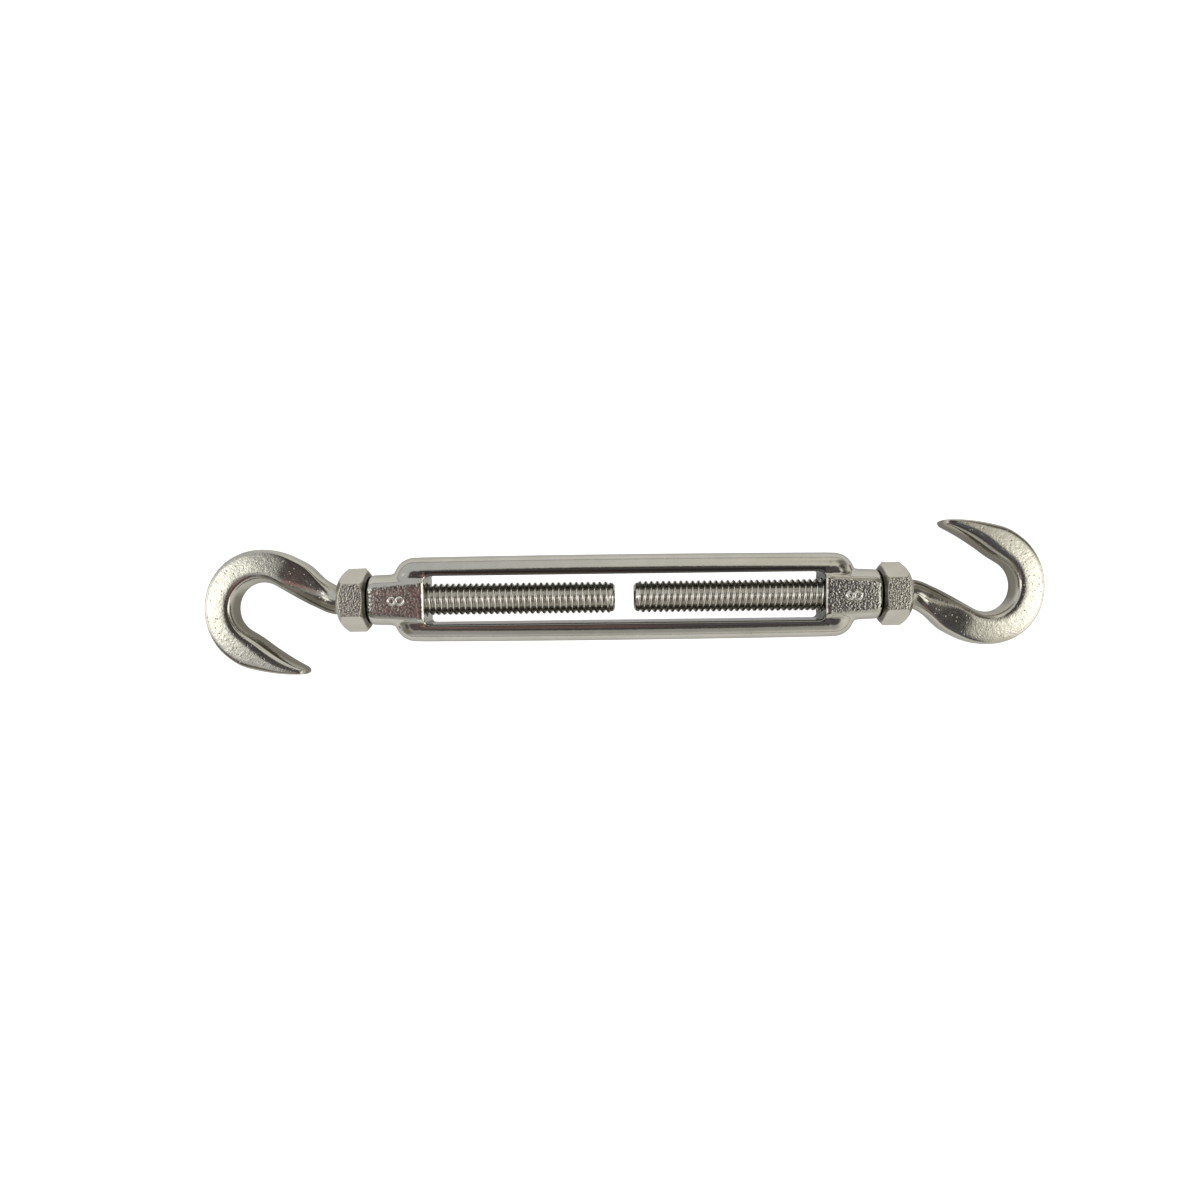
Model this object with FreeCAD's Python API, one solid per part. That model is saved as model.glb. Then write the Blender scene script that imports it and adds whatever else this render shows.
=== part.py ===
import FreeCAD
import Part
import math
import os

# Hook-and-hook rigging screw. The origin is the middle of the frame on the screw axis.
# X runs along the screws, Y across the two rails, Z up from the lower flats of the lock nuts.

# Screw thread, shared by the hooks, the nuts and the tapped ends of the frame
thread_major = 7.7
thread_pitch = 1.411
thread_depth = 0.64 * thread_pitch
running_clearance = 0.08

# Frame: a casting with a tapped boss at each end, joined by two rails round an open window
frame_length = 122.0
window_length = 94.4
window_height = 11.5
window_corner_radius = 1.0
window_edge_chamfer = 0.3
rail_width = 4.6
rail_depth = 8.8
rail_round = 4.0
rail_crown = 0.25
least_flat = 0.25
shoulder_length = 8.0
shoulder_radius = 5.0
boss_height_at_nut = 12.0
boss_height_at_window = 12.8
boss_depth = 10.6
facet_height_at_nut = 7.0
facet_height_at_window = 9.0
facet_edge_chamfer = 0.5
facet_end_round = 0.9
boss_end_radius = 4.8
boss_end_round = 1.7
bore_countersink = 0.3
frame_roll = 4.0

# Lock nuts: hexagons chamfered on both faces, seated on the ends of the frame
nut_across_flats = 13.34
nut_thickness = 6.75
nut_face_radius = 5.8
nut_chamfer_angle = 30.0
nut_countersink = 0.35

# Hooks: a threaded shank, a round neck, a lead rising to the bow, the bow and a tapered point
screw_end_gap = 4.7
neck_diameter = 7.0
neck_inside_nut = 1.6
neck_overlap = 0.8
neck_length = 0.2
neck_bend_radius = 5.5
lead_angle = 30.0
bow_drop = 1.6
bow_seat_radius = 6.1
bow_width = 7.9
bow_depth = 7.6
bow_sweep = 176.5
point_arc_radius = 47.4
point_sweep = 21.4
point_width = 1.6
point_depth = 3.0
point_width_power = 1.6
point_depth_power = 4.0
bow_face_crown = 0.04
neck_inner_angle = 88.0
neck_outer_angle = 85.0

# Forms of the hook. Each row is one section: its place as a share of the stretch, the swell of its
# width, its shift away from the seat, the shares of its width that the rounded inner side and the
# outer side take, and the thinning of its depth.
lead_form = (
    (0.10, -0.1, -0.30, 0.52, 0.44, 0.65),
    (0.28, 0.0, -0.40, 0.58, 0.30, 0.65),
    (0.46, 0.35, -0.20, 0.46, 0.12, 0.60),
    (0.64, 0.75, 0.08, 0.33, 0.08, 0.42),
    (0.82, 0.65, 0.12, 0.27, 0.08, 0.20),
)
bow_form = (
    (0.0, 0.35, 0.08, 0.25, 0.08, 0.05),
    (0.17, 0.1, 0.05, 0.25, 0.08, 0.0),
    (0.34, -0.1, -0.05, 0.25, 0.08, 0.0),
    (0.51, -0.5, -0.25, 0.25, 0.08, 0.0),
    (0.68, -0.75, -0.38, 0.25, 0.08, 0.0),
    (0.84, -0.45, -0.22, 0.26, 0.08, 0.0),
    (1.0, 0.15, 0.08, 0.30, 0.09, 0.0),
)
point_form = (
    (0.2, 0.8, 0.15, 0.37, 0.11, 0.0),
    (0.4, 0.45, 0.05, 0.46, 0.14, 0.0),
    (0.6, 0.2, 0.0, 0.50, 0.16, 0.0),
    (0.8, 0.1, 0.0, 0.50, 0.18, 0.0),
    (1.0, 0.0, 0.0, 0.50, 0.20, 0.0),
)

half_frame = frame_length / 2
half_window = window_length / 2
thread_radius = thread_major / 2
bore_radius = thread_radius + running_clearance
root_radius = thread_radius - thread_depth
nut_outer_face = half_frame + nut_thickness
frame_half_width = window_height / 2 + rail_width


def vector(x, y, z=0.0):
    return FreeCAD.Vector(x, y, z)


def heading(degrees):
    return vector(math.cos(math.radians(degrees)), math.sin(math.radians(degrees)))


def line(start, end):
    return Part.LineSegment(start, end).toShape()


def arc(start, middle, end):
    return Part.Arc(start, middle, end).toShape()


def turned(points):
    """A solid of revolution about X, from (x, radius) points that start and end on the axis."""
    corners = [vector(x, radius) for x, radius in points]
    outline = Part.makePolygon(corners + corners[:1])
    return Part.Face(outline).revolve(vector(0, 0), vector(1, 0), 360)


def other_end(shape):
    """The same shape at the other end of the part: half a turn about Z."""
    copy = shape.copy()
    copy.rotate(vector(0, 0), vector(0, 0, 1), 180)
    return copy


def edges_along(shape, direction):
    """The straight edges that run along a direction."""
    found = []
    for edge in shape.Edges:
        if edge.Curve.TypeId != "Part::GeomLine":
            continue
        if abs(edge.Curve.Direction.dot(direction)) > 0.999:
            found.append(edge)
    return found


def rim_edges(shape, height):
    """The edges that lie wholly in the plane z = height or z = -height."""
    found = []
    for edge in shape.Edges:
        box = edge.BoundBox
        for level in (height, -height):
            if abs(box.ZMin - level) < 1e-4 and abs(box.ZMax - level) < 1e-4:
                found.append(edge)
    return found


def window_prism(depth):
    """The open window, cut right through the frame, with its small corner radii."""
    box = Part.makeBox(
        window_length,
        window_height,
        depth,
        vector(-half_window, -window_height / 2, -depth / 2),
    )
    return box.makeFillet(window_corner_radius, edges_along(box, vector(0, 0, 1)))


def rail_ring():
    """Both rails with the four shoulders: a crowned outline, rounded outside and crisp inside."""
    reach = half_window + shoulder_length
    side = frame_half_width - rail_crown
    corners = [vector(-reach, -side), vector(reach, -side), vector(reach, side), vector(-reach, side)]
    outline = Part.Wire(
        [
            arc(corners[0], vector(0, -frame_half_width), corners[1]),
            line(corners[1], corners[2]),
            arc(corners[2], vector(0, frame_half_width), corners[3]),
            line(corners[3], corners[0]),
        ]
    )
    outline.translate(vector(0, 0, -rail_depth / 2))
    blank = Part.Face(outline).extrude(vector(0, 0, rail_depth))
    blank = blank.makeFillet(shoulder_radius, edges_along(blank, vector(0, 0, 1)))
    rim_round = min(rail_round, rail_depth / 2 - least_flat, rail_width - window_edge_chamfer - least_flat)
    blank = blank.makeFillet(rim_round, rim_edges(blank, rail_depth / 2))
    ring = blank.cut(window_prism(rail_depth * 2))
    inner_rim = []
    for edge in rim_edges(ring, rail_depth / 2):
        box = edge.BoundBox
        if max(abs(box.YMin), abs(box.YMax)) < window_height / 2 + 1e-4:
            inner_rim.append(edge)
    return ring.makeChamfer(window_edge_chamfer, inner_rim)


def boss_section(x, height, facet):
    """A boss section across the screw: flat in front and behind, bulging at both sides."""
    top = boss_depth / 2
    corners = [vector(x, facet / 2, top), vector(x, facet / 2, -top)]
    corners += [vector(x, -facet / 2, -top), vector(x, -facet / 2, top)]
    return Part.Wire(
        [
            arc(corners[0], vector(x, height / 2, 0), corners[1]),
            line(corners[1], corners[2]),
            arc(corners[2], vector(x, -height / 2, 0), corners[3]),
            line(corners[3], corners[0]),
        ]
    )


def facet_ends(body, x):
    """The edges where the front and back facets of a boss end, at one value of x."""
    found = []
    for edge in rim_edges(body, boss_depth / 2):
        if abs(edge.BoundBox.XMin - x) < 1e-4 and abs(edge.BoundBox.XMax - x) < 1e-4:
            found.append(edge)
    return found


def boss():
    """The boss at the -X end: flared towards the window, its outer end turned down to the nut."""
    at_window = boss_section(-half_window, boss_height_at_window, facet_height_at_window)
    at_nut = boss_section(-half_frame, boss_height_at_nut, facet_height_at_nut)
    body = Part.makeLoft([at_window, at_nut], True, True)
    body = body.makeChamfer(facet_edge_chamfer, facet_ends(body, -half_window))
    body = body.makeFillet(facet_end_round, facet_ends(body, -half_frame))
    return body.common(boss_end_envelope())


def boss_end_envelope():
    """The turned outline that rounds off the boss where the lock nut seats."""
    widest = math.hypot(boss_height_at_window, boss_depth)
    full_x = -half_frame + boss_end_round
    full_radius = boss_end_radius + boss_end_round
    middle_share = math.sqrt(0.5)
    middle = vector(
        -half_frame + boss_end_round * (1 - middle_share),
        boss_end_radius + boss_end_round * middle_share,
    )
    outline = Part.Wire(
        [
            line(vector(0, 0), vector(-half_frame, 0)),
            line(vector(-half_frame, 0), vector(-half_frame, boss_end_radius)),
            arc(vector(-half_frame, boss_end_radius), middle, vector(full_x, full_radius)),
            line(vector(full_x, full_radius), vector(full_x, widest)),
            line(vector(full_x, widest), vector(0, widest)),
            line(vector(0, widest), vector(0, 0)),
        ]
    )
    return Part.Face(outline).revolve(vector(0, 0), vector(1, 0), 360)


def tapped_hole(near, far, countersink):
    """The space of a tapped hole from x = near to x = far, countersunk at both faces."""
    wide = bore_radius + countersink
    return turned(
        [
            (near - 1, 0),
            (near - 1, wide),
            (near, wide),
            (near + countersink, bore_radius),
            (far - countersink, bore_radius),
            (far, wide),
            (far + 1, wide),
            (far + 1, 0),
        ]
    )


def frame():
    one_boss = boss()
    casting = rail_ring().fuse([one_boss, other_end(one_boss)])
    hole = tapped_hole(-half_frame, -half_window, bore_countersink)
    casting = casting.cut([hole, other_end(hole)]).removeSplitter()
    casting.rotate(vector(0, 0), vector(1, 0), frame_roll)
    return casting


def lock_nut():
    """The nut at the -X end, with one flat up and one flat down."""
    corner = nut_across_flats / math.sqrt(3)
    slope = math.tan(math.radians(nut_chamfer_angle))
    reach = (corner + 1 - nut_face_radius) * slope
    points = []
    for turn in range(0, 360, 60):
        across = heading(turn) * corner
        points.append(vector(-nut_outer_face, across.x, across.y))
    hexagon = Part.Face(Part.makePolygon(points + points[:1]))
    prism = hexagon.extrude(vector(nut_thickness, 0))
    envelope = turned(
        [
            (-nut_outer_face, 0),
            (-nut_outer_face, nut_face_radius),
            (-nut_outer_face + reach, corner + 1),
            (-half_frame - reach, corner + 1),
            (-half_frame, nut_face_radius),
            (-half_frame, 0),
        ]
    )
    return prism.common(envelope).cut(tapped_hole(-nut_outer_face, -half_frame, nut_countersink))


def shank():
    """The threaded shank at its major diameter, from inside the nut to the middle of the window."""
    start = -nut_outer_face - neck_length + neck_overlap
    thread_start = -nut_outer_face + neck_inside_nut
    end = -screw_end_gap / 2
    neck_radius = neck_diameter / 2
    return turned(
        [
            (start, 0),
            (start, neck_radius),
            (thread_start, neck_radius),
            (thread_start + thread_radius - neck_radius, thread_radius),
            (end - thread_depth, thread_radius),
            (end, root_radius),
            (end, 0),
        ]
    )


def arc_station(start, start_heading, radius, turn):
    """A point and its heading after an arc; a positive turn is anticlockwise seen from above."""
    side = 90 if turn > 0 else -90
    centre = start + heading(start_heading + side) * radius
    return centre - heading(start_heading + turn + side) * radius, start_heading + turn


def hook_section(point, direction, width, depth, form):
    """One section of the hook: four arcs that meet at the edges of its two faces."""
    share, swell, shift, inner_round, outer_round, thinning = form
    out = heading(direction - 90)
    across = width + swell
    half_depth = (depth - thinning) / 2
    edge_height = half_depth * (1 - 2 * bow_face_crown / bow_depth)
    inner_edge = across * (inner_round - 0.5)
    outer_edge = across * (0.5 - outer_round)

    def place(sideways, above):
        return point + out * (sideways + shift) + vector(0, 0, above)

    middle = (inner_edge + outer_edge) / 2
    return Part.Wire(
        [
            arc(place(inner_edge, -edge_height), place(-across / 2, 0), place(inner_edge, edge_height)),
            arc(place(inner_edge, edge_height), place(middle, half_depth), place(outer_edge, edge_height)),
            arc(place(outer_edge, edge_height), place(across / 2, 0), place(outer_edge, -edge_height)),
            arc(place(outer_edge, -edge_height), place(middle, -half_depth), place(inner_edge, -edge_height)),
        ]
    )


def round_section(point, direction, shift=0.0):
    """The round neck, divided at four corners as the rest of the hook is."""
    out = heading(direction - 90)
    point = point + out * shift
    radius = neck_diameter / 2

    def place(degrees):
        turn = math.radians(degrees)
        return point - out * (radius * math.cos(turn)) + vector(0, 0, radius * math.sin(turn))

    corners = (
        -neck_inner_angle,
        neck_inner_angle,
        180 - neck_outer_angle,
        180 + neck_outer_angle,
        360 - neck_inner_angle,
    )
    pieces = []
    for start, end in zip(corners, corners[1:]):
        pieces.append(arc(place(start), place((start + end) / 2), place(end)))
    return Part.Wire(pieces)


def hook_stations():
    """Sections from the neck, up the lead, round the bow and out to the point."""
    neck = vector(-nut_outer_face - neck_length, 0)
    lead_start, lead_heading = arc_station(neck, 180, neck_bend_radius, -lead_angle)
    bow_radius = bow_seat_radius + bow_width / 2
    rise = bow_radius * math.cos(math.radians(lead_angle)) - bow_drop - lead_start.y
    lead_length = rise / math.sin(math.radians(lead_angle))
    bow_start = lead_start + heading(lead_heading) * lead_length
    point_start, point_heading = arc_station(bow_start, lead_heading, bow_radius, bow_sweep)

    half_bend, half_heading = arc_station(neck, 180, neck_bend_radius, -lead_angle / 2)
    first_shift = lead_form[0][2]

    sections = [round_section(neck + vector(neck_overlap, 0), 180)]
    sections.append(round_section(neck, 180))
    sections.append(round_section(half_bend, half_heading, first_shift / 2))
    for form in lead_form:
        share = form[0]
        width = neck_diameter + (bow_width - neck_diameter) * share
        place = lead_start + heading(lead_heading) * (lead_length * share)
        sections.append(hook_section(place, lead_heading, width, bow_depth, form))
    for form in bow_form:
        place, direction = bow_start, lead_heading
        if form[0] > 0:
            place, direction = arc_station(bow_start, lead_heading, bow_radius, bow_sweep * form[0])
        sections.append(hook_section(place, direction, bow_width, bow_depth, form))
    for form in point_form:
        place, direction = arc_station(point_start, point_heading, point_arc_radius, point_sweep * form[0])
        width = bow_width + (point_width - bow_width) * form[0] ** point_width_power
        depth = bow_depth + (point_depth - bow_depth) * form[0] ** point_depth_power
        sections.append(hook_section(place, direction, width, depth, form))
    return sections


def hook():
    """The hook at the -X end: its forged bow on its threaded shank."""
    forged = Part.makeLoft(hook_stations(), True, False)
    return forged.fuse(shank()).removeSplitter()


def write(name, shape):
    """Save one piece as its single solid."""
    solid = shape.Solids[0]
    solid.exportStep("parts/" + name + ".step")
    print(name, "solids", len(shape.Solids), "valid", solid.isValid(), "volume", round(solid.Volume, 1))


os.makedirs("parts", exist_ok=True)
left_hook = hook()
left_nut = lock_nut()
write("frame", frame())
write("right_hand_hook", left_hook)
write("left_hand_hook", other_end(left_hook))
write("right_hand_lock_nut", left_nut)
write("left_hand_lock_nut", other_end(left_nut))
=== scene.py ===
import math
import bpy
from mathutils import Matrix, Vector, noise


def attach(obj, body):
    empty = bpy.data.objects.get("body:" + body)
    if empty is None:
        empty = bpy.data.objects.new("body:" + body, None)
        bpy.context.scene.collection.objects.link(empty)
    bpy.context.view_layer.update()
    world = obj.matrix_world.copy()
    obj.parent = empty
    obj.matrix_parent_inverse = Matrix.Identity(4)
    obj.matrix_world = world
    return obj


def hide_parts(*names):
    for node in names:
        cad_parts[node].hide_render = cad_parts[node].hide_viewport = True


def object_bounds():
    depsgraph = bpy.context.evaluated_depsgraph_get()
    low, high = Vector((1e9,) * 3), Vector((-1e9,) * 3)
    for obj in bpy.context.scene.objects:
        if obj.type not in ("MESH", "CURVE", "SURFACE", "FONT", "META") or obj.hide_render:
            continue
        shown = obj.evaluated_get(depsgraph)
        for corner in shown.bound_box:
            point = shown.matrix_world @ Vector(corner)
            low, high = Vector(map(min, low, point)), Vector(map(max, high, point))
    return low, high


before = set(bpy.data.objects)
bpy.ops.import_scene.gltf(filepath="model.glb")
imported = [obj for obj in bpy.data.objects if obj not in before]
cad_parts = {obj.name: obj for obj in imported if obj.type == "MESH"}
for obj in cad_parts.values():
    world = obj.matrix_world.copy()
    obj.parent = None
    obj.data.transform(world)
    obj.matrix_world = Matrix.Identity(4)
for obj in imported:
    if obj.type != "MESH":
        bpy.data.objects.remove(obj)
cad_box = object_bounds()

# The frame is one stainless casting: a tapped boss at each end and two rails round an open window.
# Tumbling and polishing have rounded every edge, and the junctions of rail and boss are cast soft.
# A raised size mark stands on the front of each boss.
frame_voxel = 0.0003
frame_smoothing = 4
boss_smoothing = 26
boss_reach = (0.0485, 0.0605)
boss_sand = (0.7, 1.0)
boss_face_height = 0.0053
face_fade = (0.00018, 0.00004)
raised_fade = (0.00006, 0.00012)
half_fade = 0.01
frame_roll = math.radians(4.0)
mark_centre = 0.05385
mark_height = 0.00536
mark_rings = ((-0.00095, 0.00078), (0.00095, 0.00086))
mark_stroke = 0.00032
# A painted highlight on the tops of the raised size marks, in place of their glints.
painted_mark_highlight = (0.9, 0.88, 0.83, 1)
painted_mark_highlight_place = (("Z", 0.0054, 0.00548), ("Y", 0.0016, 0.0014))
# A painted shade for the gap where each nut meets a boss end.
painted_groove_shade = (0.15, 0.135, 0.11, 1)
# A painted shade for the walls inside the window.
painted_window_shade = (0.2, 0.195, 0.175, 1)
# A painted light for the window's end wall on -X, which faces the brighter +X side.
painted_wall_light = (0.8, 0.78, 0.7, 1)
between_rails = ("Y", 0.0066, 0.0063)
painted_window_shade_place = (("X", 0.0476, 0.0473), between_rails, ("+X", -0.0473, -0.0469))
painted_wall_light_place = (("+X", -0.0469, -0.0473), ("+X", -0.0478, -0.0475), between_rails)


def pick(piece):
    """Makes one piece the only one selected, and the active one."""
    bpy.ops.object.select_all(action="DESELECT")
    piece.select_set(True)
    bpy.context.view_layer.objects.active = piece


def finish_with(piece, kind, **settings):
    """Gives a piece one modifier and applies it."""
    pick(piece)
    modifier = piece.modifiers.new(kind.lower(), kind)
    for key, value in settings.items():
        setattr(modifier, key, value)
    bpy.ops.object.modifier_apply(modifier=modifier.name)


def whole_copy(node, name):
    """A copy of a CAD node as one closed mesh."""
    piece = bpy.data.objects.new(name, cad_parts[node].data.copy())
    bpy.context.scene.collection.objects.link(piece)
    piece.data.materials.clear()
    pick(piece)
    bpy.ops.object.mode_set(mode="EDIT")
    bpy.ops.mesh.select_all(action="SELECT")
    bpy.ops.mesh.remove_doubles(threshold=1e-6)
    bpy.ops.mesh.customdata_custom_splitnormals_clear()
    bpy.ops.object.mode_set(mode="OBJECT")
    return piece


def tumble(piece, voxel, passes):
    """Turns the shells of a piece into one skin and rounds its edges, as tumbling does."""
    finish_with(piece, "REMESH", mode="VOXEL", voxel_size=voxel, use_smooth_shade=True)
    finish_with(piece, "SMOOTH", factor=0.5, iterations=passes)
    pick(piece)
    bpy.ops.object.shade_smooth()


def size_mark(x):
    """The raised figure 8 on a boss: two rings laid along the boss."""
    rings = []
    for along, radius in mark_rings:
        bpy.ops.object.select_all(action="DESELECT")
        bpy.ops.mesh.primitive_torus_add(
            location=(x + along, -math.sin(frame_roll) * mark_height, math.cos(frame_roll) * mark_height),
            rotation=(frame_roll, 0, 0),
            major_segments=40,
            minor_segments=12,
            major_radius=radius,
            minor_radius=mark_stroke,
        )
        rings.append(bpy.context.object)
    return rings


def steel_skin():
    """The shared look of worked stainless steel: cloudy tone, grain, soft waves, small pits and sand."""
    group = bpy.data.node_groups.new("steel_skin", "ShaderNodeTree")
    inputs = (
        ("Light Tone", "NodeSocketColor", (0.6, 0.57, 0.5, 1)),
        ("Dark Tone", "NodeSocketColor", (0.5, 0.47, 0.4, 1)),
        ("Cloud Scale", "NodeSocketFloat", 90.0),
        ("Grain Scale", "NodeSocketFloat", 2500.0),
        ("Grain Depth", "NodeSocketFloat", 0.15),
        ("Wave Depth", "NodeSocketFloat", 0.1),
        ("Pit Depth", "NodeSocketFloat", 0.2),
        ("Sand Scale", "NodeSocketFloat", 2600.0),
        ("Sand Depth", "NodeSocketFloat", 0.0),
        ("Smoothest", "NodeSocketFloat", 0.14),
        ("Roughest", "NodeSocketFloat", 0.26),
    )
    for name, kind, value in inputs:
        socket = group.interface.new_socket(name, in_out="INPUT", socket_type=kind)
        socket.default_value = value
    outputs = (("Color", "NodeSocketColor"), ("Roughness", "NodeSocketFloat"), ("Normal", "NodeSocketVector"))
    for name, kind in outputs:
        group.interface.new_socket(name, in_out="OUTPUT", socket_type=kind)
    nodes, links = group.nodes, group.links
    given = nodes.new("NodeGroupInput")
    result = nodes.new("NodeGroupOutput")
    place = nodes.new("ShaderNodeTexCoord")

    clouds = nodes.new("ShaderNodeTexNoise")
    clouds.inputs["Detail"].default_value = 6
    clouds.inputs["Roughness"].default_value = 0.65
    links.new(place.outputs["Object"], clouds.inputs["Vector"])
    links.new(given.outputs["Cloud Scale"], clouds.inputs["Scale"])
    spread = nodes.new("ShaderNodeMapRange")
    spread.inputs["From Min"].default_value = 0.36
    spread.inputs["From Max"].default_value = 0.64
    links.new(clouds.outputs["Fac"], spread.inputs["Value"])
    tone = nodes.new("ShaderNodeMix")
    tone.data_type = "RGBA"
    links.new(spread.outputs["Result"], tone.inputs["Factor"])
    links.new(given.outputs["Dark Tone"], tone.inputs["A"])
    links.new(given.outputs["Light Tone"], tone.inputs["B"])

    grain = nodes.new("ShaderNodeTexNoise")
    grain.inputs["Detail"].default_value = 4
    grain.inputs["Roughness"].default_value = 0.6
    links.new(place.outputs["Object"], grain.inputs["Vector"])
    links.new(given.outputs["Grain Scale"], grain.inputs["Scale"])
    rough = nodes.new("ShaderNodeMapRange")
    rough.inputs["From Min"].default_value = 0.35
    rough.inputs["From Max"].default_value = 0.65
    links.new(grain.outputs["Fac"], rough.inputs["Value"])
    links.new(given.outputs["Smoothest"], rough.inputs["To Min"])
    links.new(given.outputs["Roughest"], rough.inputs["To Max"])
    dull = nodes.new("ShaderNodeMath")
    dull.operation = "MULTIPLY_ADD"
    links.new(given.outputs["Sand Depth"], dull.inputs[0])
    dull.inputs[1].default_value = 0.06
    links.new(rough.outputs["Result"], dull.inputs[2])

    waves = nodes.new("ShaderNodeTexNoise")
    waves.inputs["Scale"].default_value = 260
    waves.inputs["Detail"].default_value = 2
    links.new(place.outputs["Object"], waves.inputs["Vector"])

    spots = nodes.new("ShaderNodeTexVoronoi")
    spots.inputs["Scale"].default_value = 900
    links.new(place.outputs["Object"], spots.inputs["Vector"])
    pits = nodes.new("ShaderNodeMapRange")
    pits.inputs["From Min"].default_value = 0.08
    pits.inputs["From Max"].default_value = 0.2
    pits.inputs["To Min"].default_value = -1
    pits.inputs["To Max"].default_value = 0
    links.new(spots.outputs["Distance"], pits.inputs["Value"])

    sand = nodes.new("ShaderNodeTexNoise")
    sand.inputs["Detail"].default_value = 1
    links.new(place.outputs["Object"], sand.inputs["Vector"])
    links.new(given.outputs["Sand Scale"], sand.inputs["Scale"])
    grit = nodes.new("ShaderNodeMapRange")
    grit.inputs["From Min"].default_value = 0.38
    grit.inputs["From Max"].default_value = 0.62
    grit.inputs["To Min"].default_value = 0.6
    grit.inputs["To Max"].default_value = 1.25
    links.new(sand.outputs["Fac"], grit.inputs["Value"])
    gritty = nodes.new("ShaderNodeMix")
    gritty.data_type = "RGBA"
    gritty.blend_type = "MULTIPLY"
    links.new(given.outputs["Sand Depth"], gritty.inputs["Factor"])
    links.new(tone.outputs["Result"], gritty.inputs["A"])
    links.new(grit.outputs["Result"], gritty.inputs["B"])

    height = None
    for source, depth in (
        (sand.outputs["Fac"], "Sand Depth"),
        (grain.outputs["Fac"], "Grain Depth"),
        (waves.outputs["Fac"], "Wave Depth"),
        (pits.outputs["Result"], "Pit Depth"),
    ):
        share = nodes.new("ShaderNodeMath")
        share.operation = "MULTIPLY_ADD"
        links.new(source, share.inputs[0])
        links.new(given.outputs[depth], share.inputs[1])
        if height is None:
            share.inputs[2].default_value = 0
        else:
            links.new(height, share.inputs[2])
        height = share.outputs[0]
    bump = nodes.new("ShaderNodeBump")
    bump.inputs["Strength"].default_value = 1
    bump.inputs["Distance"].default_value = 0.0001
    links.new(height, bump.inputs["Height"])

    links.new(gritty.outputs["Result"], result.inputs["Color"])
    links.new(dull.outputs[0], result.inputs["Roughness"])
    links.new(bump.outputs["Normal"], result.inputs["Normal"])
    return group


def steel(name, **values):
    """A polished stainless material that places the shared skin with its own values."""
    material = bpy.data.materials.new(name)
    material.use_nodes = True
    nodes, links = material.node_tree.nodes, material.node_tree.links
    shader = nodes["Principled BSDF"]
    shader.inputs["Metallic"].default_value = 1
    shader.inputs["Specular Tint"].default_value = (0.6, 0.6, 0.6, 1)
    skin = nodes.new("ShaderNodeGroup")
    skin.name = "skin"
    skin.node_tree = bpy.data.node_groups.get("steel_skin") or steel_skin()
    for key, value in values.items():
        skin.inputs[key.replace("_", " ").title()].default_value = value
    links.new(skin.outputs["Color"], shader.inputs["Base Color"])
    links.new(skin.outputs["Roughness"], shader.inputs["Roughness"])
    links.new(skin.outputs["Normal"], shader.inputs["Normal"])
    return material


def flat_faces(material, height, roll, sand_left, sand_right):
    """Leaves the front and back flats of a material sandy, by a depth for each half of the part."""
    nodes, links = material.node_tree.nodes, material.node_tree.links
    place = nodes.new("ShaderNodeTexCoord")
    level = nodes.new("ShaderNodeMapping")
    level.inputs["Rotation"].default_value = (-roll, 0, 0)
    links.new(place.outputs["Object"], level.inputs["Vector"])
    parts = nodes.new("ShaderNodeSeparateXYZ")
    links.new(level.outputs["Vector"], parts.inputs["Vector"])
    above = nodes.new("ShaderNodeMath")
    above.operation = "ABSOLUTE"
    links.new(parts.outputs["Z"], above.inputs[0])
    flat = nodes.new("ShaderNodeMapRange")
    flat.interpolation_type = "SMOOTHSTEP"
    flat.inputs["From Min"].default_value = height - face_fade[0]
    flat.inputs["From Max"].default_value = height - face_fade[1]
    links.new(above.outputs[0], flat.inputs["Value"])
    half = nodes.new("ShaderNodeMapRange")
    half.inputs["From Min"].default_value = -half_fade
    half.inputs["From Max"].default_value = half_fade
    half.inputs["To Min"].default_value = sand_left
    half.inputs["To Max"].default_value = sand_right
    links.new(parts.outputs["X"], half.inputs["Value"])
    raised = nodes.new("ShaderNodeMapRange")
    raised.inputs["From Min"].default_value = height + raised_fade[0]
    raised.inputs["From Max"].default_value = height + raised_fade[1]
    raised.inputs["To Min"].default_value = 1
    raised.inputs["To Max"].default_value = 0
    links.new(above.outputs[0], raised.inputs["Value"])
    depth = flat.outputs["Result"]
    for share in (half, raised):
        product = nodes.new("ShaderNodeMath")
        product.operation = "MULTIPLY"
        links.new(depth, product.inputs[0])
        links.new(share.outputs["Result"], product.inputs[1])
        depth = product.outputs[0]
    links.new(depth, nodes["skin"].inputs["Sand Depth"])


def paint_light_and_shade(material, tone, *places):
    """Paints light or shade into a material's colour: another tone where each (axes, from, to) has reached its
    second value.

    One letter is a distance from the middle, "+" with a letter keeps its sign, and two letters are a product.
    """
    nodes, links = material.node_tree.nodes, material.node_tree.links
    place = nodes.new("ShaderNodeTexCoord")
    parts = nodes.new("ShaderNodeSeparateXYZ")
    links.new(place.outputs["Object"], parts.inputs["Vector"])
    share = None
    for axes, first, second in places:
        value = nodes.new("ShaderNodeMath")
        value.operation = "ABSOLUTE" if len(axes) == 1 else "MULTIPLY"
        value.inputs[1].default_value = 1
        for number, axis in enumerate(axes.strip("+")):
            links.new(parts.outputs[axis], value.inputs[number])
        reach = nodes.new("ShaderNodeMapRange")
        reach.inputs["From Min"].default_value = first
        reach.inputs["From Max"].default_value = second
        links.new(value.outputs[0], reach.inputs["Value"])
        if share is None:
            share = reach.outputs["Result"]
            continue
        both = nodes.new("ShaderNodeMath")
        both.operation = "MULTIPLY"
        links.new(share, both.inputs[0])
        links.new(reach.outputs["Result"], both.inputs[1])
        share = both.outputs[0]
    colour = nodes.new("ShaderNodeMix")
    colour.data_type = "RGBA"
    painted = nodes["Principled BSDF"].inputs["Base Color"]
    links.new(share, colour.inputs["Factor"])
    links.new(painted.links[0].from_socket, colour.inputs["A"])
    colour.inputs["B"].default_value = tone
    links.new(colour.outputs["Result"], painted)


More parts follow.
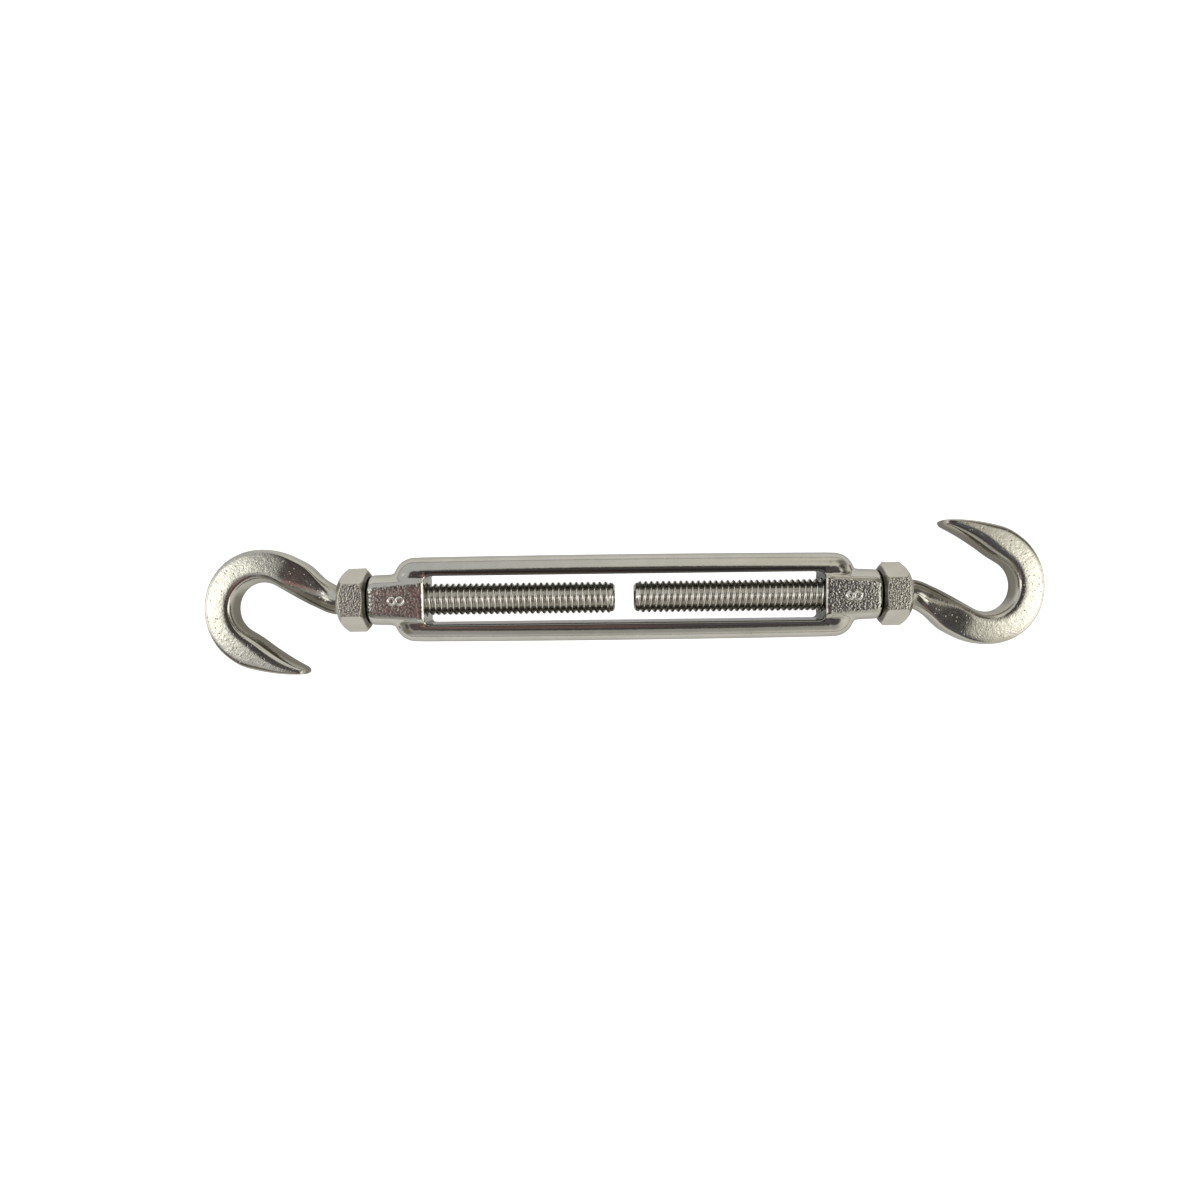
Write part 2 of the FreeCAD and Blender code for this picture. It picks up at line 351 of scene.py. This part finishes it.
casting = whole_copy("frame", "cast_frame")
tumble(casting, frame_voxel, frame_smoothing)
bosses = casting.vertex_groups.new(name="bosses")
soft = [vertex.index for vertex in casting.data.vertices if boss_reach[0] < abs(vertex.co.x) < boss_reach[1]]
bosses.add(soft, 1, "REPLACE")
finish_with(casting, "SMOOTH", factor=0.5, iterations=boss_smoothing, vertex_group="bosses")
for ring in size_mark(-mark_centre) + size_mark(mark_centre):
    bpy.ops.object.select_all(action="DESELECT")
    finish_with(casting, "BOOLEAN", operation="UNION", solver="EXACT", object=ring)
    bpy.data.objects.remove(ring)
pick(casting)
bpy.ops.object.shade_smooth_by_angle(angle=math.radians(40))
cast_steel = steel(
    "cast_steel",
    light_tone=(0.53, 0.515, 0.465, 1),
    dark_tone=(0.48, 0.465, 0.415, 1),
    cloud_scale=120,
    grain_scale=1800,
    grain_depth=0.06,
    wave_depth=0.25,
    pit_depth=0.05,
    sand_scale=2100,
    smoothest=0.08,
    roughest=0.16,
)
flat_faces(cast_steel, boss_face_height, frame_roll, *boss_sand)
# Painted highlight: the tops of the size marks get a lighter tone in place of the glints on the rings.
paint_light_and_shade(cast_steel, painted_mark_highlight, *painted_mark_highlight_place)
# Painted shade: the boss ends that face the nuts are darkened as if in the shade of the gap.
paint_light_and_shade(cast_steel, painted_groove_shade, ("X", 0.0605, 0.0608))
# Painted shade: inside the window, the walls and the rails' inner edges are darkened as if in shade. The end
# wall on -X is left out.
paint_light_and_shade(cast_steel, painted_window_shade, *painted_window_shade_place)
# Painted light: the window's end wall on -X gets a lighter tone as if lit from the +X side.
paint_light_and_shade(cast_steel, painted_wall_light, *painted_wall_light_place)
casting.data.materials.append(cast_steel)
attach(casting, "frame")
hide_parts("frame")

# Each hook is forged from one stainless bar: the end is bent, flattened on both faces and drawn to
# a cut point, and the shank is rolled with a thread. The hook on -X has a right-hand thread, the
# other a left-hand one.
neck_start = -0.06795
hook_path = ((0.0055, -30.0), (0.01273, 0.0), (0.01005, 176.5), (0.0474, 21.4))
ring_spacing = 0.0013
face_crown = 0.00004
face_shares = (0.1, 0.5, 0.9)
inner_front = (
    (1.0, 0.0), (0.91, 0.24), (0.79, 0.47), (0.65, 0.69), (0.53, 0.84),
    (0.42, 0.925), (0.3, 0.963), (0.15, 0.99), (0.0, 1.0),
)
inner_back = ((1.0, 0.0), (0.942, 0.27), (0.778, 0.52), (0.507, 0.75), (0.22, 0.91), (0.0, 1.0))
outer_side = ((0.0, 1.0), (0.5, 0.95), (0.85, 0.75), (0.97, 0.4), (1.0, 0.0))
burr_reach = 0.0016
burr_depth = 0.00028
burr_scale = 1900
neck_overlap = 0.0016
hook_reach = 0.0176

# Each row is one section of the hook in millimetres and shares: its stretch of the path and place
# in it, width, depth, shift away from the seat, the shares of the width that the inner and the
# outer side take, and how round those sides are.
hook_forms = (
    (0, 0.0, 7.0, 7.0, 0.0, 0.5, 0.5, 1.0),
    (0, 0.5, 7.0, 6.6, -0.15, 0.5, 0.49, 1.0),
    (1, 0.1, 6.99, 5.9, -0.3, 0.55, 0.3, 0.7),
    (1, 0.28, 7.25, 5.98, -0.4, 0.52, 0.16, 0.4),
    (1, 0.46, 7.76, 6.12, -0.2, 0.44, 0.1, 0.2),
    (1, 0.64, 8.33, 6.36, 0.08, 0.33, 0.08, 0.1),
    (1, 0.82, 8.39, 6.68, 0.12, 0.27, 0.08, 0.0),
    (2, 0.0, 8.25, 6.92, 0.08, 0.26, 0.08, 0.0),
    (2, 0.17, 8.0, 7.0, 0.05, 0.26, 0.08, 0.0),
    (2, 0.34, 7.8, 7.0, -0.05, 0.26, 0.08, 0.0),
    (2, 0.51, 7.4, 7.0, -0.25, 0.26, 0.08, 0.0),
    (2, 0.68, 7.15, 7.0, -0.38, 0.26, 0.08, 0.0),
    (2, 0.84, 7.45, 7.0, -0.22, 0.28, 0.08, 0.0),
    (2, 1.0, 8.05, 7.0, 0.08, 0.31, 0.09, 0.0),
    (3, 0.2, 8.22, 7.0, 0.15, 0.37, 0.11, 0.0),
    (3, 0.4, 6.9, 7.0, 0.05, 0.47, 0.14, 0.0),
    (3, 0.6, 5.32, 7.0, 0.0, 0.56, 0.14, 0.0),
    (3, 0.8, 3.59, 6.95, 0.0, 0.6, 0.14, 0.0),
    (3, 0.93, 2.3, 6.75, 0.0, 0.6, 0.14, 0.0),
    (3, 1.0, 1.55, 5.6, 0.0, 0.6, 0.14, 0.0),
)


def heading(degrees):
    return Vector((math.cos(math.radians(degrees)), math.sin(math.radians(degrees)), 0))


def stretch_length(size, turn):
    """The length of one stretch: a straight run's size is its length, an arc's is its radius."""
    return size * math.radians(abs(turn)) if turn else size


def on_path(distance):
    """The point and the heading at a distance along the middle line of the -X hook."""
    point, direction = Vector((neck_start, 0, 0)), 180.0
    for size, turn in hook_path:
        length = stretch_length(size, turn)
        share = min(1.0, distance / length)
        if hook_path[-1] == (size, turn):
            share = distance / length
        if turn:
            side = 90 if turn > 0 else -90
            centre = point + heading(direction + side) * size
            direction += turn * share
            point = centre - heading(direction + side) * size
        else:
            point = point + heading(direction) * size * share
        distance -= length
        if distance <= 0:
            break
    return point, direction


def form_at(distance, places):
    """The section values at a distance, carried smoothly through the rows of the table."""
    last = len(places) - 1
    index = 0
    while index < last - 1 and places[index + 1] < distance:
        index += 1
    rows = [hook_forms[min(max(index + step, 0), last)][2:] for step in (-1, 0, 1, 2)]
    t = (distance - places[index]) / (places[index + 1] - places[index])
    values = []
    for before, start, end, after in zip(*rows):
        curve = 3 * (start - end) + after - before
        bend = 2 * before - 5 * start + 4 * end - after
        values.append(start + 0.5 * t * (end - before + t * (bend + t * curve)))
    return values


def section_half(inner_side, width, depth, shift, inner, outer, roundness):
    """Half a section as (sideways, above) points, from the middle of the inner side to the outer's."""
    half = depth / 2
    inner_crest = width * (inner - 0.5)
    outer_crest = width * (0.5 - outer)
    points = []
    for step, (across, above) in enumerate(inner_side):
        turn = math.radians(90 * step / (len(inner_side) - 1))
        across += (math.cos(turn) - across) * roundness
        above += (math.sin(turn) - above) * roundness
        points.append((inner_crest - across * inner * width + shift, above * half))
    for share in face_shares:
        points.append((inner_crest + (outer_crest - inner_crest) * share + shift, half + face_crown * 1000))
    for step, (across, above) in enumerate(outer_side):
        turn = math.radians(90 * step / (len(outer_side) - 1))
        across += (math.sin(turn) - across) * roundness
        above += (math.cos(turn) - above) * roundness
        points.append((outer_crest + across * outer * width + shift, above * half))
    return points


def hook_ring(distance, places, side):
    """The points of one whole section, placed on the hook of one side."""
    point, direction = on_path(distance)
    out = heading(direction - 90)
    form = form_at(distance, places)
    back = section_half(inner_back, *form)
    whole = section_half(inner_front, *form) + [(across, -above) for across, above in back[-2:0:-1]]
    ring = []
    for across, above in whole:
        place = point + out * across * 0.001
        ring.append((-side * place.x, -side * place.y, above * 0.001))
    return ring


def forged_hook(name, side):
    """The bow, lead and point of one hook, drawn out ring by ring from the neck."""
    starts = [0.0]
    for size, turn in hook_path:
        starts.append(starts[-1] + stretch_length(size, turn))
    places = []
    for stretch, share, *values in hook_forms:
        places.append(starts[stretch] + share * stretch_length(*hook_path[stretch]))
    count = math.ceil(starts[-1] / ring_spacing)
    rings = [hook_ring(starts[-1] * step / count, places, side) for step in range(count + 1)]
    inside_nut = [(x - side * neck_overlap, y, z) for x, y, z in rings[0]]
    rings.insert(0, inside_nut)

    bpy.ops.object.select_all(action="DESELECT")
    bpy.ops.mesh.primitive_circle_add(vertices=len(rings[0]), radius=0.001, fill_type="NGON")
    piece = bpy.context.object
    piece.name = name
    for vertex, place in zip(piece.data.vertices, rings[0]):
        vertex.co = place
    for ring in rings[1:]:
        bpy.ops.object.mode_set(mode="EDIT")
        bpy.ops.mesh.extrude_region_move()
        bpy.ops.object.mode_set(mode="OBJECT")
        moved = [vertex for vertex in piece.data.vertices if vertex.select]
        for vertex, place in zip(moved, ring):
            vertex.co = place
    bpy.ops.object.mode_set(mode="EDIT")
    bpy.ops.mesh.select_all(action="SELECT")
    bpy.ops.mesh.normals_make_consistent(inside=False)
    bpy.ops.object.mode_set(mode="OBJECT")
    finish_with(piece, "SUBSURF", levels=2, render_levels=2)

    tip = on_path(starts[-1])[0]
    tip = Vector((-side * tip.x, -side * tip.y, 0))
    for vertex in piece.data.vertices:
        away = (vertex.co - tip).length
        if away < burr_reach:
            push = noise.noise_vector(vertex.co * burr_scale) * burr_depth * (1 - away / burr_reach)
            vertex.co += push
            vertex.co.y = max(-hook_reach, min(hook_reach, vertex.co.y))
    return piece


thread_major = 0.0038
thread_pitch = 0.001411
thread_steps = 40
thread_form = (
    (0.0, 0.62), (0.07, 0.58), (0.14, 0.46), (0.22, 0.29), (0.3, 0.15), (0.38, 0.055), (0.44, 0.014), (0.5, 0.0),
    (0.56, 0.014), (0.62, 0.055), (0.7, 0.15), (0.78, 0.29), (0.86, 0.46), (0.93, 0.58), (1.0, 0.62),
)
thread_end = 0.00235
thread_start = 0.0666
thread_fade = 0.0016
neck_radius = 0.0035
plain_end = 0.0008
plain_radius = 0.00346
end_cone = 0.25
plain_fade = 0.7
end_edge = 0.00035
edge_slope = 1.2


def lathe(name, points, **settings):
    """A body turned about X from (along, radius) points; an offset per turn makes it a thread."""
    bpy.ops.object.select_all(action="DESELECT")
    bpy.ops.mesh.primitive_circle_add(vertices=len(points), radius=0.001)
    piece = bpy.context.object
    piece.name = name
    for vertex, (along, radius) in zip(piece.data.vertices, points):
        vertex.co = (along, radius, 0)
    pick(piece)
    bpy.ops.object.mode_set(mode="EDIT")
    bpy.ops.mesh.select_mode(type="EDGE")
    bpy.ops.mesh.select_all(action="DESELECT")
    bpy.ops.object.mode_set(mode="OBJECT")
    for edge in piece.data.edges:
        edge.select = abs(edge.vertices[0] - edge.vertices[1]) > 1
    bpy.ops.object.mode_set(mode="EDIT")
    bpy.ops.mesh.delete(type="EDGE")
    bpy.ops.object.mode_set(mode="OBJECT")
    finish_with(piece, "SCREW", axis="X", **settings)
    return piece


def close_ends(piece, low, high):
    """Merges the turns of a lathed body and cuts it square at both ends."""
    pick(piece)
    bpy.ops.object.mode_set(mode="EDIT")
    bpy.ops.mesh.select_all(action="SELECT")
    bpy.ops.mesh.remove_doubles(threshold=1e-6)
    for place, outward in ((low, -1), (high, 1)):
        bpy.ops.mesh.select_all(action="SELECT")
        bpy.ops.mesh.bisect(plane_co=(place, 0, 0), plane_no=(outward, 0, 0), use_fill=True, clear_outer=True)
    bpy.ops.mesh.select_all(action="SELECT")
    bpy.ops.mesh.normals_make_consistent(inside=False)
    bpy.ops.object.mode_set(mode="OBJECT")


def threaded_shank(name, side):
    """The rolled thread at one end: side is -1 for the right-hand screw and 1 for the left-hand one."""
    profile = [(share * thread_pitch, thread_major - drop * 0.001) for share, drop in thread_form]
    piece = lathe(
        name,
        profile,
        screw_offset=-side * thread_pitch,
        iterations=math.ceil((thread_start - thread_end) / thread_pitch) + 3,
        steps=thread_steps,
        render_steps=thread_steps,
    )
    low, high = sorted((side * thread_end, side * thread_start))
    first = min(vertex.co.x for vertex in piece.data.vertices)
    for vertex in piece.data.vertices:
        vertex.co.x += low - 1.5 * thread_pitch - first
    close_ends(piece, low, high)
    for vertex in piece.data.vertices:
        x = abs(vertex.co.x)
        radius = math.hypot(vertex.co.y, vertex.co.z)
        if radius < 1e-6:
            continue
        from_start = min(1, max(0, (thread_start - x) / thread_fade))
        wanted = neck_radius + (radius - neck_radius) * from_start
        from_end = x - thread_end
        plain = plain_radius - max(0, plain_end - from_end) * end_cone - max(0, end_edge - from_end) * edge_slope
        share = min(1, max(0, (plain_end * (1 + plain_fade) - from_end) / (plain_end * plain_fade)))
        wanted += (plain - wanted) * share
        vertex.co.y *= wanted / radius
        vertex.co.z *= wanted / radius
    return piece


forged_steel = steel(
    "forged_steel",
    light_tone=(0.54, 0.525, 0.465, 1),
    dark_tone=(0.48, 0.46, 0.4, 1),
    cloud_scale=160,
    grain_scale=3000,
    grain_depth=0.06,
    wave_depth=0.1,
    pit_depth=0.2,
    sand_scale=1800,
    sand_depth=0.1,
    smoothest=0.08,
    roughest=0.16,
)
rolled_steel = steel(
    "rolled_steel",
    light_tone=(0.72, 0.7, 0.65, 1),
    dark_tone=(0.6, 0.575, 0.52, 1),
    cloud_scale=500,
    grain_scale=2600,
    grain_depth=0.05,
    wave_depth=0.05,
    pit_depth=0.03,
    smoothest=0.14,
    roughest=0.24,
)
# Painted shade: on the half of each hook that holds the lead and the point, the sides between the front and back
# faces are darkened in place of the shaded floor they reflect.
paint_light_and_shade(forged_steel, (0.23, 0.215, 0.18, 1), ("Z", 0.003, 0.0018), ("XY", -0.00035, -0.0001))
for hand, side in (("right", -1), ("left", 1)):
    hook = forged_hook(hand + "_hand_forging", side)
    shank = threaded_shank(hand + "_hand_thread", side)
    for part, own in ((hook, 0), (shank, 1)):
        part.data.materials.append(forged_steel)
        part.data.materials.append(rolled_steel)
        for face in part.data.polygons:
            face.material_index = own
    finish_with(hook, "BOOLEAN", operation="UNION", solver="EXACT", object=shank)
    bpy.data.objects.remove(shank)
    pick(hook)
    bpy.ops.object.mode_set(mode="EDIT")
    bpy.ops.mesh.select_all(action="SELECT")
    bpy.ops.mesh.remove_doubles(threshold=1e-6)
    bpy.ops.mesh.dissolve_degenerate(threshold=1e-6)
    bpy.ops.object.mode_set(mode="OBJECT")
    hook.data.validate()
    bpy.ops.object.shade_smooth_by_angle(angle=math.radians(35))
    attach(hook, hand + "_hand_screw")
    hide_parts(hand + "_hand_hook")

# The lock nuts are cut from bright drawn hexagon bar, bored and chamfered on both faces.
# They run on the hooks' threads and jam against the ends of the frame.
nut_inner_face = 0.061
nut_outer_face = 0.06775
nut_across_flats = 0.01334
nut_face_radius = 0.0058
nut_inner_chamfer = math.radians(30)
nut_outer_chamfer = math.radians(38)
nut_bore = 0.00393
nut_countersink = 0.00035
nut_edge_round = 0.00025
nut_rim_start = 0.0003
cutter_spare = 0.001
turned_steps = 96


def lock_nut(name, side):
    """One hexagon nut, its flats up and down, chamfered and bored on the screw's axis."""
    corner = nut_across_flats / math.sqrt(3)
    middle = side * (nut_inner_face + nut_outer_face) / 2
    thickness = nut_outer_face - nut_inner_face
    bpy.ops.object.select_all(action="DESELECT")
    bpy.ops.mesh.primitive_cylinder_add(
        vertices=6,
        radius=corner,
        depth=thickness,
        location=(middle, 0, 0),
        rotation=(0, math.pi / 2, 0),
    )
    nut = bpy.context.object
    nut.name = name
    bpy.ops.object.transform_apply(location=True, rotation=True, scale=True)

    wide = corner + cutter_spare
    reaches = [(wide - nut_face_radius) * math.tan(angle) for angle in (nut_inner_chamfer, nut_outer_chamfer)]
    low, high = middle - thickness / 2, middle + thickness / 2
    blank_points = ((low, 0), (low, nut_face_radius), (low + reaches[side < 0], wide))
    blank_points += ((high - reaches[side > 0], wide), (high, nut_face_radius), (high, 0))
    mouth = nut_bore + nut_countersink
    before, after = low - cutter_spare, high + cutter_spare
    bore_points = ((before, 0), (before, mouth), (low, mouth), (low + nut_countersink, nut_bore))
    bore_points += ((high - nut_countersink, nut_bore), (high, mouth), (after, mouth), (after, 0))
    for points, operation in ((blank_points, "INTERSECT"), (bore_points, "DIFFERENCE")):
        tool = lathe("tool", points, steps=turned_steps, render_steps=turned_steps)
        close_ends(tool, points[0][0], points[-1][0])
        finish_with(nut, "BOOLEAN", operation=operation, solver="EXACT", object=tool)
        bpy.data.objects.remove(tool)
    rim = nut.vertex_groups.new(name="rim")
    rim_radius = nut_face_radius + nut_rim_start
    outside = [vertex.index for vertex in nut.data.vertices if math.hypot(*vertex.co.yz) > rim_radius]
    rim.add(outside, 1, "REPLACE")
    finish_with(nut, "BEVEL", width=nut_edge_round, segments=4, limit_method="VGROUP", vertex_group="rim")
    pick(nut)
    bpy.ops.object.shade_smooth_by_angle(angle=math.radians(25))
    finish_with(nut, "WEIGHTED_NORMAL", weight=100, keep_sharp=True)
    return nut


nut_steel = steel(
    "nut_steel",
    light_tone=(0.565, 0.54, 0.475, 1),
    dark_tone=(0.515, 0.49, 0.425, 1),
    cloud_scale=250,
    grain_scale=3200,
    grain_depth=0.1,
    wave_depth=0.05,
    pit_depth=0.1,
    sand_scale=2400,
    smoothest=0.12,
    roughest=0.22,
)
flat_faces(nut_steel, nut_across_flats / 2, 0, 1.0, 1.0)
# Painted shade: the nuts' inner ends are darkened as if in the shade of the gap against the frame.
paint_light_and_shade(nut_steel, painted_groove_shade, ("X", 0.0617, 0.0614))
for hand, side in (("right", -1), ("left", 1)):
    nut = lock_nut(hand + "_hand_hexagon", side)
    nut.data.materials.append(nut_steel)
    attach(nut, hand + "_hand_nut")
    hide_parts(hand + "_hand_lock_nut")

# The floor is a plain white sheet under the part. It stays white to the camera and in the steel,
# and it keeps the part's soft shadow.
floor_level = cad_box[0].z
floor_size = 6.0
bpy.ops.object.select_all(action="DESELECT")
bpy.ops.mesh.primitive_plane_add(size=floor_size, location=(0, 0, floor_level))
floor = bpy.context.object
floor.name = "floor"
paper = bpy.data.materials.new("white_paper")
paper.use_nodes = True
paper_nodes, paper_links = paper.node_tree.nodes, paper.node_tree.links
paper_shader = paper_nodes["Principled BSDF"]
paper_shader.inputs["Base Color"].default_value = (0.8, 0.8, 0.8, 1)
paper_shader.inputs["Roughness"].default_value = 0.9
paper_shader.inputs["Specular IOR Level"].default_value = 0.1
rays = paper_nodes.new("ShaderNodeLightPath")
in_steel = paper_nodes.new("ShaderNodeMath")
in_steel.operation = "MULTIPLY"
in_steel.inputs[1].default_value = 0.5
paper_links.new(rays.outputs["Is Glossy Ray"], in_steel.inputs[0])
seen = paper_nodes.new("ShaderNodeMath")
seen.operation = "MAXIMUM"
paper_links.new(rays.outputs["Is Camera Ray"], seen.inputs[0])
paper_links.new(in_steel.outputs[0], seen.inputs[1])
glow = paper_nodes.new("ShaderNodeMath")
glow.operation = "MULTIPLY"
glow.inputs[1].default_value = 0.9
paper_links.new(seen.outputs[0], glow.inputs[0])
paper_shader.inputs["Emission Color"].default_value = (1, 1, 1, 1)
paper_links.new(glow.outputs[0], paper_shader.inputs["Emission Strength"])
floor.data.materials.append(paper)

# The studio is a white tent, lighter on the +X side. The photographer stands dark over the part, and
# a small soft lamp shines on each side of them.
tent_left = (0.74, 0.76, 0.78, 1)
tent_right = (0.98, 0.96, 0.88, 1)
tent = bpy.data.worlds.new("white_tent")
bpy.context.scene.world = tent
tent.use_nodes = True
tent_nodes, tent_links = tent.node_tree.nodes, tent.node_tree.links
direction = tent_nodes.new("ShaderNodeTexCoord")
parts = tent_nodes.new("ShaderNodeSeparateXYZ")
tent_links.new(direction.outputs["Generated"], parts.inputs["Vector"])


def ramp(value, start, end, smooth=False):
    """A share that goes from 0 to 1 as the value goes from start to end."""
    node = tent_nodes.new("ShaderNodeMapRange")
    node.interpolation_type = "SMOOTHSTEP" if smooth else "LINEAR"
    node.inputs["From Min"].default_value = start
    node.inputs["From Max"].default_value = end
    tent_links.new(value, node.inputs["Value"])
    return node.outputs["Result"]


def blend(share, under, tone):
    """Lays a tone over what is under it."""
    node = tent_nodes.new("ShaderNodeMix")
    node.data_type = "RGBA"
    tent_links.new(share, node.inputs["Factor"])
    if isinstance(under, tuple):
        node.inputs["A"].default_value = under
    else:
        tent_links.new(under, node.inputs["A"])
    node.inputs["B"].default_value = tone
    return node.outputs["Result"]


def panel(under, side, front, full, edge, tone, smooth=True):
    """A round panel overhead: it lies side and front degrees from straight up, and fades at its edge."""
    node = tent_nodes.new("ShaderNodeVectorMath")
    node.operation = "DISTANCE"
    tent_links.new(direction.outputs["Generated"], node.inputs[0])
    up = Vector((math.tan(math.radians(side)), math.tan(math.radians(front)), 1)).normalized()
    node.inputs[1].default_value = up
    reach = [2 * math.sin(math.radians(angle) / 2) for angle in (edge, full)]
    return blend(ramp(node.outputs["Value"], *reach, smooth=smooth), under, tone)


cloth = blend(ramp(parts.outputs["X"], -0.25, 0.25), tent_left, tent_right)
cloth = blend(ramp(parts.outputs["Z"], 0.2, 0.0, smooth=True), cloth, (0.42, 0.41, 0.37, 1))
cloth = panel(cloth, 0, -50, 12, 38, (0.5, 0.5, 0.48, 1))
for side in (-1, 1):
    cloth = panel(cloth, side * 52, side * 52, 14, 28, (0.3, 0.28, 0.24, 1))
    cloth = panel(cloth, side * 80, -4, 8, 14, (1.5, 1.5, 1.45, 1))
    cloth = panel(cloth, side * 49, -8, 15, 20, (1.9, 1.9, 1.85, 1))
    cloth = panel(cloth, side * 50, side * 27, 7, 13, (0.5, 0.47, 0.42, 1))
    cloth = panel(cloth, side * 36, side * 22, 9, 15, (0.13, 0.12, 0.11, 1))
for front in (6, -8, -22):
    cloth = panel(cloth, 0.7, front, 18.5, 24, (0.09, 0.08, 0.08, 1))
cloth = panel(cloth, 12, -10, 5, 12, (0.13, 0.13, 0.165, 1))
for side in (-8, -2.5):
    cloth = panel(cloth, side, -9, 3, 6.5, (0.3, 0.16, 0.155, 1))
for side in (-11, -6, -1):
    cloth = panel(cloth, side, -24, 2.5, 5.5, (0.3, 0.19, 0.185, 1))
cloth = panel(cloth, -14.3, -9.5, 3.2, 6.5, (0.52, 0.31, 0.3, 1))
for side in (-1, 1):
    cloth = panel(cloth, side * 27.7 + 0.7, side * -0.5, 2.5, 4.5, (3.3, 3.3, 3.15, 1))
tent_links.new(cloth, tent_nodes["Background"].inputs["Color"])

# The camera hangs over the part and looks straight down, turned by under a degree.
camera_height = 0.205
picture_width = 0.2892
camera_x = -0.003
camera_y = -0.0007
camera_turn = -0.0125
axis_shift = -0.01
eye = bpy.data.cameras.new("camera")
eye.lens = eye.sensor_width / picture_width * camera_height
eye.shift_x = axis_shift
camera = bpy.data.objects.new("camera", eye)
bpy.context.scene.collection.objects.link(camera)
camera.location = (camera_x, camera_y, camera_height)
camera.rotation_euler = (0, 0, camera_turn)
bpy.context.scene.camera = camera
bpy.context.scene.view_settings.view_transform = "Standard"
